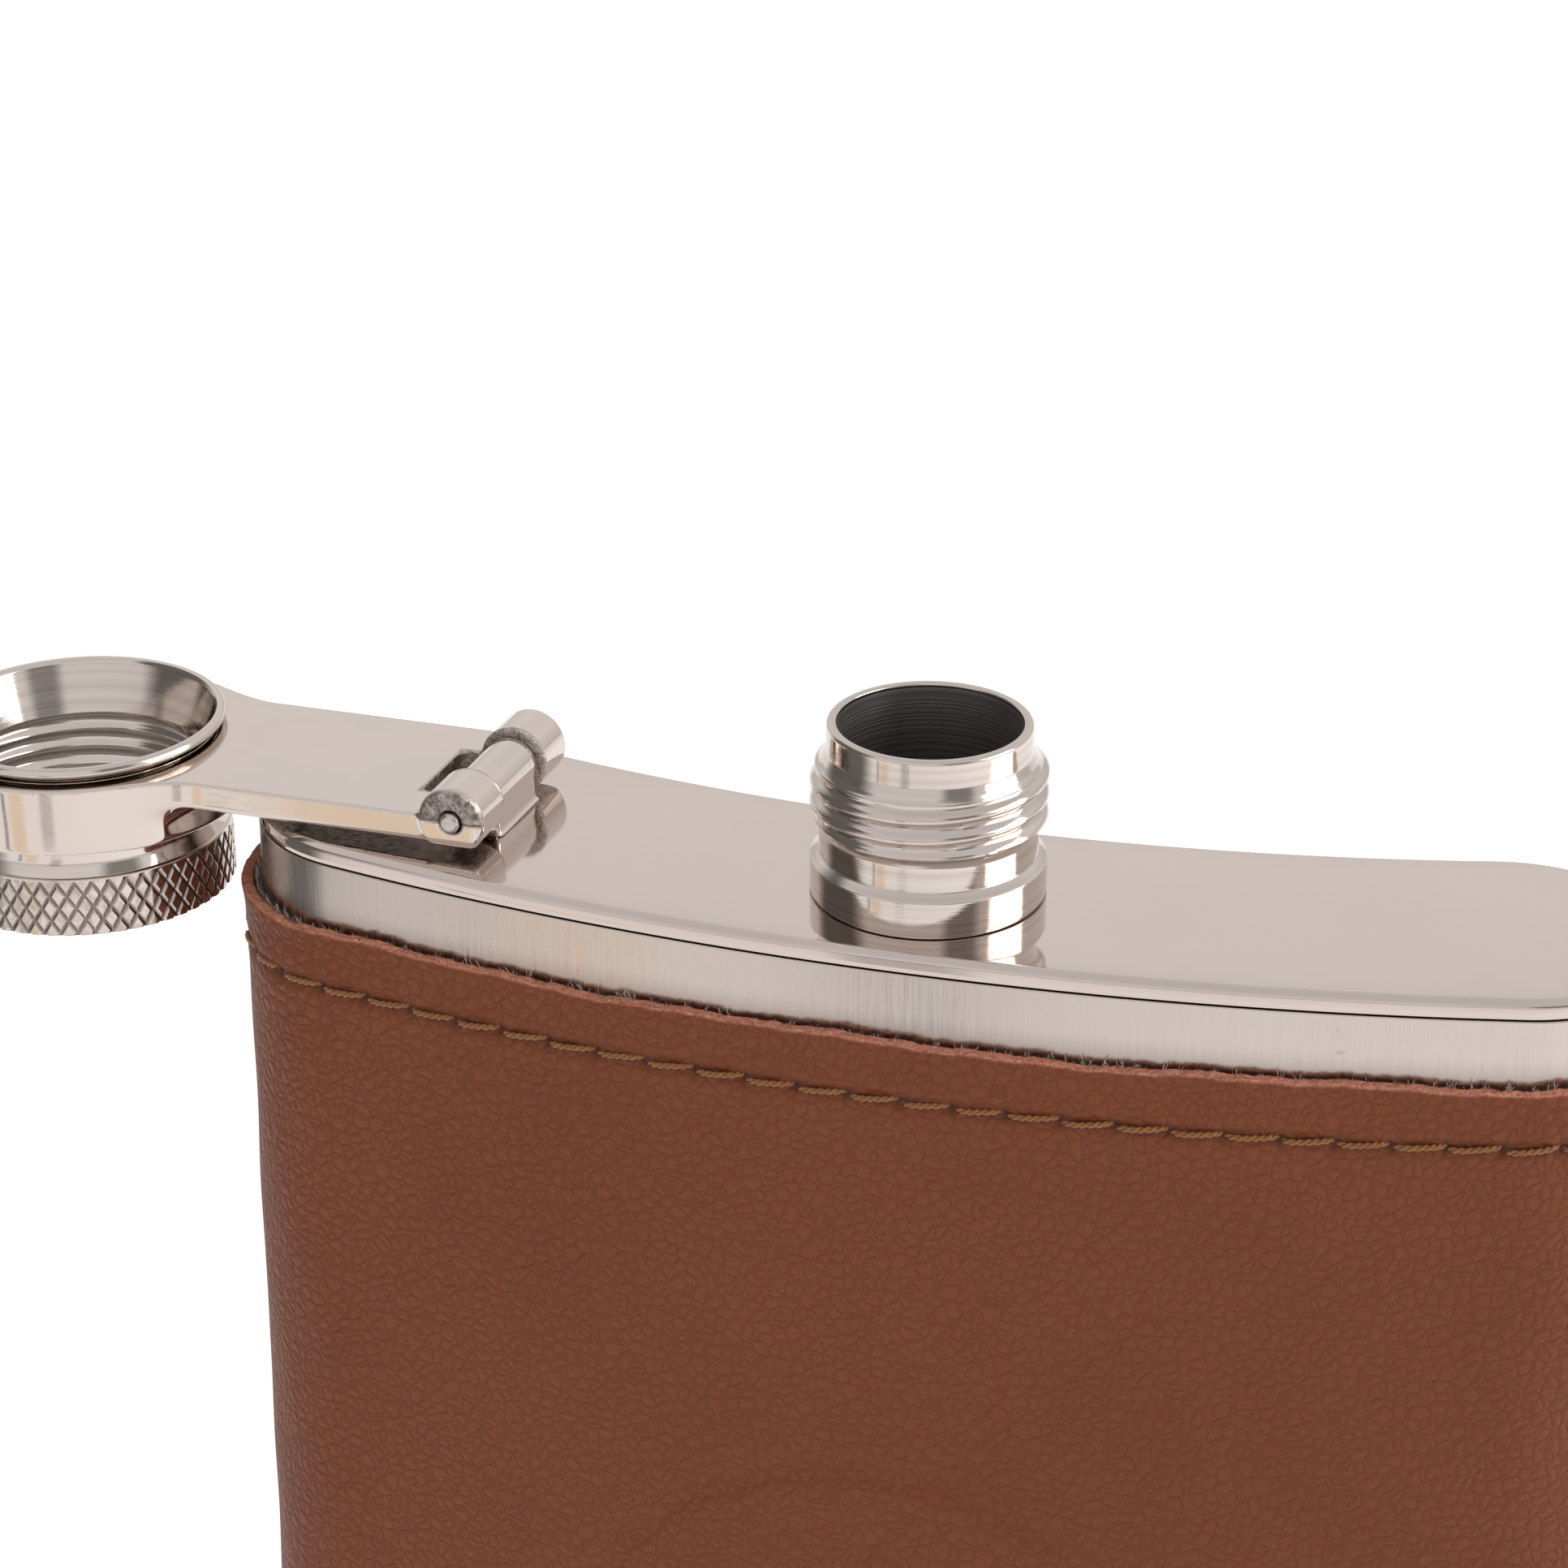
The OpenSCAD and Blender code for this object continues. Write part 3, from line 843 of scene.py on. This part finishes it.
def build_lid_arm():
    low = (-HINGE_REACH - EYE_R, -EYE_R, ARM_ABOVE - EYE_H)
    high = (KNUCKLE_R, EYE_R, KNUCKLE_R)
    points, quads = surface_of(arm_field, low, high, 0.14)
    x, side, z = points[:, 0], points[:, 1] - ARM_OFFSET, points[:, 2]
    end_face = np.clip((np.abs(side) - ARM_W / 2 + 0.35) / 0.12, 0, 1)
    top_half = np.clip((z + 0.1) / 0.15, 0, 1) * np.clip((2.3 - np.hypot(x, z)) / 0.2, 0, 1)
    inside_notch = (np.abs(side) < POST_W / 2 + 0.5) & (x > -NOTCH_REACH - 0.1)
    underside = (z < ARM_ABOVE - ARM_T + 0.1) & (x > -19)
    raw = np.maximum(end_face * top_half, np.maximum(inside_notch, underside) * 0.6)
    points = in_place(points, ARM_TURN, PIN_AT)
    return make_object("lid_arm_casting", points, quads, 50, {"raw_cast": raw})


# ---- Cap ----

CAP_R = 10.2
KNURL_TOP, KNURL_LOW = 7.25, 11.15
KNURL_LINES = 54
KNURL_DEEP = 0.15
KNURL_HALF_WIDTH = 0.22
KNURLED_FROM_R = CAP_R - 0.45
KNURL_LEAN = math.tan(math.radians(33)) / CAP_R
SLEEVE_OUT = 9.35


def knurl_depth(height, angle):
    """How deep the two crossing sets of grooves are, from 0 to 1."""
    depth = 0
    for lean in (KNURL_LEAN, -KNURL_LEAN):
        phase = (angle + lean * height) * KNURL_LINES / TAU
        off = np.abs(phase - np.round(phase)) * TAU * CAP_R / KNURL_LINES
        depth = np.maximum(depth, np.clip(1 - off / KNURL_HALF_WIDTH, 0, 1))
    below_top = np.clip((-height - KNURL_TOP + 0.1) / 0.12, 0, 1)
    above_low = np.clip((KNURL_LOW + 0.12 + height) / 0.12, 0, 1)
    return depth * (below_top * above_low)


def knurl_relief(radius, height, angle):
    return radius - KNURL_DEEP * knurl_depth(height, angle) * (radius > KNURLED_FROM_R)


def build_cap_head():
    bore, end = SLEEVE_OUT + 0.02, 11.6
    above = [
        (0, -10.42, 0), (bore, -10.42, 0.1), (bore, -5.0, 0.05), (9.6, -5.0, 0.08), (9.6, -6.1, 0.9),
        (10.0, -6.95, 0.12), (CAP_R - 0.03, -7.0, 0.06), (CAP_R, -7.1, 0),
    ]
    below = [(CAP_R, -KNURL_LOW, 0), (CAP_R - 0.75, -11.35, 0.4), (7.6, -end, 1.0), (0, -end, 0)]
    rows = np.linspace(-7.13, -KNURL_LOW + 0.04, 66)
    band = np.stack([np.full(len(rows), CAP_R), rows], -1)
    ends = [filled_in(rounded(part, 5, closed=False), 0.35, closed=False) for part in (above, below)]
    profile = np.concatenate([ends[0], band, ends[1]])
    cap = revolved("knurled_cap", profile, ARM_TURN, CAP_AT, 1080, False, knurl_relief, 75)
    local = np.array([v.co for v in cap.data.vertices]) / MM
    local = (local - CAP_AT) @ ARM_TURN
    angle = np.arctan2(local[:, 1], local[:, 0])
    radius = np.hypot(local[:, 0], local[:, 1])
    groove = knurl_depth(local[:, 2], angle) * (radius > KNURLED_FROM_R)
    add_attribute(cap, "groove", groove)
    add_attribute(cap, "band", local[:, 2] < -KNURL_TOP + 0.12)
    return cap


def sleeve_relief(radius, height, angle):
    """A rolled thread inside the sleeve, below its cone."""
    inner = radius < 8.9
    wave = 0.5 + 0.5 * np.cos(TAU * (height / PITCH - angle / TAU))
    fade = np.clip((-height - 3.1) / 0.6, 0, 1) * np.clip((9.2 + height) / 0.6, 0, 1)
    return radius - np.where(inner, 0.42 * wave * fade, 0)


def build_cap_sleeve():
    corners = [
        (8.75, -9.5, 0), (8.75, -3.0, 0.2), (8.32, -2.8, 0.1), (8.32, -2.5, 0.1), (9.5, 0.85, 0.3),
        (9.68, 1.08, 0.12), (10.12, 1.1, 0.3), (10.33, 0.66, 0.26), (10.05, 0.3, 0.18),
        (SLEEVE_OUT, 0.27, 0.1), (SLEEVE_OUT, -9.5, 0.1),
    ]
    profile = filled_in(rounded(corners, 6), 0.12)
    return revolved("flared_cap_sleeve", profile, ARM_TURN, CAP_AT, 256, relief=sleeve_relief)


def build_gasket():
    low, high, r = -10.36, -9.62, SLEEVE_OUT - 0.12
    corners = [
        (0, low, 0), (r, low, 0.15), (r, high, 0.15), (7.6, high, 0.1), (7.2, high - 0.12, 0.15),
        (6.2, high - 0.12, 0.15), (5.8, high, 0.1), (0, high, 0),
    ]
    profile = rounded(corners, 4, closed=False)
    return revolved("sealing_disc", profile, ARM_TURN, CAP_AT, 128, closed=False)


# ---- Wrap ----

EMBLEM_Z = (WRAP_LO + WRAP_HI) / 2
EMBLEM_R = 22.0


def stitch_spots():
    """Distance round the body of each stitch's middle, spread evenly."""
    count = int(PERIMETER * 1.03 // STITCH_PITCH)
    return (np.arange(count) + 0.5) * PERIMETER / count


def emblem_depth(s, z):
    """A generic pressed mark on the front: a ring with a lozenge in it."""
    x = (s - FRONT_MIDDLE_S + PERIMETER / 2) % PERIMETER - PERIMETER / 2
    y = z - EMBLEM_Z
    ring = np.abs(np.hypot(x, y) - EMBLEM_R) - 0.9
    lozenge = np.abs((np.abs(x) / 11.0 + np.abs(y) / 16.5 - 1) * 9.2) - 0.7
    distance = np.minimum(ring, lozenge)
    return 0.2 * np.clip(0.5 - distance / 0.7, 0, 1)


def lift(s, z):
    """How far the leather's edges stand off the steel, more at the rounded ends."""
    point, _ = outline(s)
    at_end = np.clip((np.abs(point[..., 0]) - 36) / 11, 0, 1)
    far = np.minimum(WRAP_HI - z, z - WRAP_LO)
    uneven = 0.5 + 0.5 * waves((0.6, s * TAU / PERIMETER * 5 + 1.2), (0.4, s * TAU / PERIMETER * 13))
    return (0.10 * uneven + 0.26 * at_end) * np.exp(-np.maximum(far, 0) / 1.5)


def cut_line(s):
    """Unevenness of the leather's cut edge."""
    turn = s * TAU / PERIMETER
    return waves((0.10, 7 * turn + 0.5), (0.07, 19 * turn), (0.045, 47 * turn + 2), (0.03, 101 * turn))


def stitch_line(s, z):
    """Distance to the nearer row of stitches, and how near the needle's holes are."""
    pitch = PERIMETER / len(stitch_spots())
    phase = (s / pitch) % 1.0
    hole = np.exp(-((np.minimum(phase, 1 - phase) * pitch) / 0.42) ** 2)
    above, below = z - (WRAP_HI - STITCH_INSET), z - (WRAP_LO + STITCH_INSET)
    return np.where(np.abs(above) < np.abs(below), above, below), hole


def leather_relief(s, z):
    """Height of the leather's face above its plain surface, and what the thread pulls in."""
    turn = s * TAU / PERIMETER
    across, hole = stitch_line(s, z)
    height = waves(
        (0.035, 9 * turn + 0.08 * z), (0.03, 17 * turn - 0.15 * z + 1), (0.025, 4 * turn + 0.31 * z),
        (0.018, 31 * turn + 0.4 * z), (0.018, 23 * turn - 0.55 * z + 2),
    )
    height = height - (0.13 + 0.2 * hole) * np.exp(-(across / 0.5) ** 2)
    height = height + 0.05 * (1 - hole) * np.exp(-((np.abs(across) - 1.1) / 0.6) ** 2)
    off = np.abs((s - BACK_MIDDLE_S + PERIMETER / 2) % PERIMETER - PERIMETER / 2)
    height = height - 0.12 * np.exp(-((off - 1.6) / 0.5) ** 2) - 0.1 * np.exp(-(off / 0.6) ** 2)
    return height - emblem_depth(s, z)


def leather_profile():
    """The leather's section as grow and height, with close rows up its outer face."""
    edge = 0.26
    corners = [
        (LEATHER_OUT, WRAP_LO, edge), (LEATHER_OUT, WRAP_HI, edge),
        (LEATHER_IN, WRAP_HI, 0.08), (LEATHER_IN, WRAP_LO, 0.08),
    ]
    base = rounded(corners, 5)
    outer = base[:, 0] > LEATHER_OUT - 1e-6
    first = int(np.where(outer)[0][0])
    base = np.roll(base, -first, 0)
    face = np.where((base[:-1, 0] > LEATHER_OUT - 1e-6) & (base[1:, 0] > LEATHER_OUT - 1e-6))[0]
    split = int(face[np.argmax(np.abs(np.diff(base[:, 1]))[face])])
    z_a, z_b = base[split, 1], base[split + 1, 1]
    rows = int(abs(z_b - z_a) / 0.33)
    dense = np.stack([np.full(rows, LEATHER_OUT), np.linspace(z_a, z_b, rows + 1, endpoint=False)[1:]], -1)
    return np.concatenate([base[:split + 1], dense, base[split + 1:]])


def build_leather():
    cols = 680
    s = BACK_MIDDLE_S + BUTT_GAP / 2 + np.linspace(0, 1, cols) * (PERIMETER - BUTT_GAP)
    profile = leather_profile()
    grow, z = profile[:, :1] + 0 * s, profile[:, 1:] + 0 * s
    share = np.clip((grow - LEATHER_IN) / (LEATHER_OUT - LEATHER_IN), 0, 1)
    raw = np.clip((LEATHER_OUT - 0.005 - grow) / 0.1, 0, 1)
    near_top = np.exp(-np.maximum(WRAP_HI - z, 0) / 1.2)
    near_low = np.exp(-np.maximum(z - WRAP_LO, 0) / 1.2)
    z_cut = z + near_top * cut_line(s) * (z > EMBLEM_Z) + near_low * cut_line(s + 31) * (z <= EMBLEM_Z)
    fuzz = 0.05 * raw * random.normal(size=raw.shape) * (share > 0.02)
    s = s + 0 * z
    grown = grow + share * leather_relief(s, z) + lift(s, z) + 0.4 * fuzz
    points = on_outline(s, grown, z_cut + fuzz)
    across, hole = stitch_line(s, z)
    # Painted shade at the needle holes and along the stitch furrow, kept as a vertex attribute for the
    # leather's colour.
    at_hole = 0.95 * hole * np.exp(-(across / 0.42) ** 2)
    stitch_shade = np.maximum(at_hole, 0.55 * np.exp(-((across - 0.05) / 0.34) ** 2))
    count = len(profile)
    faces = [grid_quads(count, cols, close_rows=True, close_cols=False)]
    column = np.arange(count) * cols
    faces.append(column[None, ::-1].copy())
    faces.append(column[None, :] + cols - 1)
    return make_object("leather_cover", points.reshape(-1, 3), faces, 60, {"raw": raw, "stitch_shade": stitch_shade})


def build_backing():
    sunk = 0.4
    corners = [
        (SKIN_GAP, WRAP_LO + sunk, 0.04), (SKIN_GAP, WRAP_HI - sunk, 0.04),
        (BACKING_OUT, WRAP_HI - sunk, 0.1), (BACKING_OUT, WRAP_LO + sunk, 0.1),
    ]
    profile = filled_in(rounded(corners, 3), 6.0)
    count = 1100
    s = np.arange(count) * PERIMETER / count
    grow, z = profile[:, :1] + 0 * s, profile[:, 1:] + 0 * s
    outer = np.clip((grow - SKIN_GAP) / (BACKING_OUT - SKIN_GAP), 0, 1)
    at_edge = np.abs(z - EMBLEM_Z) > (WRAP_HI - WRAP_LO) / 2 - 0.9
    ragged = 0.1 * random.normal(size=count) * at_edge
    s = s + 0 * z
    points = on_outline(s, grow + outer * lift(s, z) * 0.9, z + ragged)
    quads = grid_quads(len(profile), count, True)
    return make_object("woven_backing_layer", points.reshape(-1, 3), quads, 60)


def build_fray(name, edge_z, direction):
    """Ends of the backing's yarns, which stand out of its cut edge in small tufts."""
    parts = []
    tufts = int(PERIMETER / 1.2)
    for i in range(tufts):
        s = (i + 0.15 * random.normal()) * PERIMETER / tufts
        for _ in range(int(random.integers(3, 8))):
            foot_s = s + 0.16 * random.normal()
            tall = 0.35 + abs(random.normal(0.0, 0.16))
            lean, out = 0.16 * random.normal(), 0.1 + 0.16 * random.random()
            t = np.linspace(0, 1, 4)
            stand = lift(np.array(foot_s), np.array(edge_z)) * 0.6
            path = on_outline(
                foot_s + lean * t ** 2,
                0.1 + stand + out * t ** 2,
                edge_z + direction * (-0.55 + tall * t * 1.4),
            )
            parts.append(tube(path, np.linspace(0.045, 0.02, 4), 4))
    return make_object(name, *joined(parts), 60)


def twisted_thread(path, s, radius=0.12, turn_length=1.05):
    """Two plies wound round each other along a path that lies at distances s round the body."""
    phase = random.random() * TAU
    _, out = outline(s)
    out = np.concatenate([out, np.zeros((len(s), 1))], -1)
    along = np.gradient(path, axis=0)
    step = np.linalg.norm(along, axis=1)
    along /= step[:, None]
    side = np.cross(along, out)
    side /= np.linalg.norm(side, axis=1)[:, None]
    up = np.cross(side, along)
    run = np.concatenate([[0], np.cumsum(np.linalg.norm(np.diff(path, axis=0), axis=1))])
    parts = []
    for ply in (0, math.pi):
        angle = run * TAU / turn_length + ply + phase
        wound = path + radius * 0.82 * (side * np.cos(angle)[:, None] + up * np.sin(angle)[:, None])
        parts.append(tube(wound, radius, 7))
    return parts


def build_stitch_row(name, row_z):
    """One lockstitch after another: each leans a little and sinks into its two holes."""
    parts = []
    spots = stitch_spots()
    pitch = PERIMETER / len(spots)
    t = np.linspace(0, 1, 22)
    for middle in spots:
        length = pitch * (0.88 + 0.02 * random.normal())
        slant = 0.34 + 0.05 * random.normal()
        s = middle + (t - 0.5) * length
        z = row_z + (t - 0.5) * slant + 0.02 * random.normal()
        sag = np.abs(2 * t - 1) ** 4
        grow = LEATHER_OUT - 0.13 + 0.17 - 0.45 * sag
        path = on_outline(s, grow + lift(s, z), z)
        parts += twisted_thread(path, s)
    return make_object(name, *joined(parts), 60)


def build_seam_stitches():
    """Slanted bridging stitches over the butt joint up the middle of the back."""
    parts = []
    low = WRAP_LO + STITCH_INSET + BRIDGE_PITCH
    high = WRAP_HI - STITCH_INSET - BRIDGE_PITCH / 2
    t = np.linspace(0, 1, 22)
    for z in np.arange(low, high, BRIDGE_PITCH):
        for direction in (1, -1):
            s = BACK_MIDDLE_S + (t - 0.5) * 3.3
            slant = direction * (t - 0.5) * 1.9
            grow = LEATHER_OUT + 0.1 + 0.09 * direction - 0.5 * np.abs(2 * t - 1) ** 5
            path = on_outline(s, grow, z + slant)
            parts += twisted_thread(path, s)
    return make_object("back_seam_thread", *joined(parts), 60)


# ---- Assembly ----


def place(obj, body, material, slot, *nodes):
    obj.data.materials.append(material)
    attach(obj, body)
    if nodes:
        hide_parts(*nodes)


def build_flask():
    plate = polished_plate()
    casting = polished_casting()
    neck_steel = turned_steel(
        "turned_steel", (0.65, 0.585, 0.54), (0.56, 0.495, 0.455), 0.06, 0.17, 0.0025
    )
    sleeve_steel = turned_steel(
        "sleeve_steel", (0.68, 0.615, 0.57), (0.60, 0.535, 0.495), 0.07, 0.18, 0.002
    )
    thread, fray = sewing_thread(), fray_fibre()
    place(build_body_wall(), "flask", brushed_body(), "brushed_body", "body_wall")
    top_plate = build_end_plate("pressed_top_plate", TOP_Z, -1, PLATE_HOLE_R)
    place(top_plate, "flask", plate, "polished_plate", "top_plate")
    base_plate = build_end_plate("pressed_base_plate", 0.0, 1)
    place(base_plate, "flask", plate, "polished_plate", "base_plate")
    place(build_neck(), "flask", neck_steel, "turned_steel", "neck")
    place(build_hinge_bracket(), "flask", casting, "polished_casting", "hinge_bracket")
    place(build_hinge_pin(), "flask", pin_steel(), "pin_steel", "hinge_pin")
    place(build_lid_arm(), "arm", casting, "polished_casting", "lid_arm")
    place(build_cap_head(), "cap", knurled_steel(), "knurled_steel", "cap_head")
    place(build_cap_sleeve(), "cap", sleeve_steel, "turned_steel", "cap_sleeve")
    place(build_gasket(), "cap", rubber_seal(), "gasket", "cap_gasket")
    place(build_leather(), "flask", pebbled_leather(), "leather", "leather_wrap")
    place(build_backing(), "flask", woven_backing(), "backing", "leather_backing")
    place(build_fray("frayed_yarns_top", WRAP_HI, 1), "flask", fray, "backing")
    place(build_fray("frayed_yarns_low", WRAP_LO, -1), "flask", fray, "backing")
    top_row = build_stitch_row("top_edge_thread", WRAP_HI - STITCH_INSET)
    place(top_row, "flask", thread, "thread", "top_stitching")
    low_row = build_stitch_row("low_edge_thread", WRAP_LO + STITCH_INSET)
    place(low_row, "flask", thread, "thread", "bottom_stitching")
    place(build_seam_stitches(), "flask", thread, "thread", "back_seam_stitching")


# ---- Camera, floor and light ----

CAMERA_AT = (66.628, -259.712, 248.989)
CAMERA_TURN_DEG = (90 - 24.4225, 0, 16.386)
LENS = 105.1


def build_camera():
    """A short telephoto from the front right, a little above the flask."""
    data = bpy.data.cameras.new("camera")
    data.lens = LENS
    data.sensor_width = 36.0
    data.clip_start, data.clip_end = 0.01, 20
    camera = bpy.data.objects.new("camera", data)
    bpy.context.scene.collection.objects.link(camera)
    camera.location = Vector(CAMERA_AT) * MM
    camera.rotation_euler = [math.radians(a) for a in CAMERA_TURN_DEG]
    bpy.context.scene.camera = camera


def build_floor():
    n = Nodes("floor")
    cloud = n.noise(n.position(), 0.004, 2)
    n.colour(n.mix(cloud, (0.90, 0.895, 0.89), (0.93, 0.925, 0.92)))
    n.set(Roughness=0.8, Emission_Color=(1, 0.985, 0.975, 1), Emission_Strength=0.26)
    bpy.ops.mesh.primitive_plane_add(size=8)
    floor = bpy.context.object
    floor.name = "studio_floor"
    floor.data.materials.append(n.material)


def add_area(name, at, toward, size, power, colour=(1, 1, 1)):
    data = bpy.data.lights.new(name, "AREA")
    data.shape = "RECTANGLE"
    data.size, data.size_y = size
    data.energy = power
    data.color = colour
    light = bpy.data.objects.new(name, data)
    bpy.context.scene.collection.objects.link(light)
    light.location = at
    aim = Vector(toward) - Vector(at)
    light.rotation_euler = aim.to_track_quat("-Z", "Y").to_euler()


def add_flag(name, at, toward, size, shade, strength=1.0, tint=(1, 0.94, 0.88)):
    """A card with soft edges that only shows in reflections, as a studio flag does."""
    n = Nodes(name)
    n.set(Base_Color=(*(shade * t for t in tint), 1), Roughness=1.0)
    place = n.add("ShaderNodeTexCoord").outputs["Object"]
    split = n.add("ShaderNodeSeparateXYZ", {"Vector": place})
    across = n.range(n.math("ABSOLUTE", split.outputs["X"]), 0.5, 0.2)
    upward = n.range(n.math("ABSOLUTE", split.outputs["Y"]), 0.5, 0.38)
    cover = n.math("MULTIPLY", n.math("MULTIPLY", across, upward), strength)
    n.link(cover, n.shader.inputs["Alpha"])
    bpy.ops.mesh.primitive_plane_add(size=1)
    card = bpy.context.object
    card.name = name
    card.scale = (size[0], size[1], 1)
    card.location = at
    card.rotation_euler = (Vector(toward) - Vector(at)).to_track_quat("Z", "Y").to_euler()
    card.data.materials.append(n.material)
    card.visible_camera = False
    card.visible_diffuse = False
    card.visible_shadow = False


def build_world():
    """A pale studio: light grey below, white at eye level, light grey above."""
    world = bpy.data.worlds.new("studio")
    bpy.context.scene.world = world
    world.use_nodes = True
    tree = world.node_tree
    background = tree.nodes["Background"]
    coordinates = tree.nodes.new("ShaderNodeTexCoord")
    split = tree.nodes.new("ShaderNodeSeparateXYZ")
    ramp = tree.nodes.new("ShaderNodeValToRGB")
    tree.links.new(coordinates.outputs["Generated"], split.inputs[0])
    tree.links.new(split.outputs["Z"], ramp.inputs["Fac"])
    tree.links.new(ramp.outputs["Color"], background.inputs["Color"])
    stops = ramp.color_ramp.elements
    stops[0].position, stops[0].color = 0.0, (0.78, 0.74, 0.72, 1)
    stops[1].position, stops[1].color = 1.0, (0.80, 0.79, 0.79, 1)
    stops.new(0.42).color = (1.0, 0.985, 0.975, 1)
    background.inputs["Strength"].default_value = 0.9


def build_light():
    build_world()
    middle, left_half = (0, 0, 0.12), (-0.04, 0, 0.12)
    add_area("key_softbox", (0.8, 0.1, 0.45), middle, (0.6, 0.5), 3.0)
    add_flag("left_flag", (-0.22, -0.03, 0.15), middle, (0.34, 0.36), 0.06, 0.9)
    warm = (1, 0.85, 0.66)
    add_flag("warm_card", (-0.126, -0.175, 0.03), left_half, (0.05, 0.1), 0.98, 0.9, warm)
    add_flag("thin_flag", (-0.158, -0.168, 0.03), left_half, (0.012, 0.1), 0.1, 0.7)
    add_flag("front_flag", (-0.06, -0.28, 0.05), middle, (0.06, 0.3), 0.1, 0.4)
    add_flag("right_flag", (0.25, -0.24, 0.32), middle, (0.3, 0.25), 0.1, 0.75)
    bpy.context.scene.view_settings.view_transform = "Standard"


build_camera()
build_floor()
build_light()
build_flask()
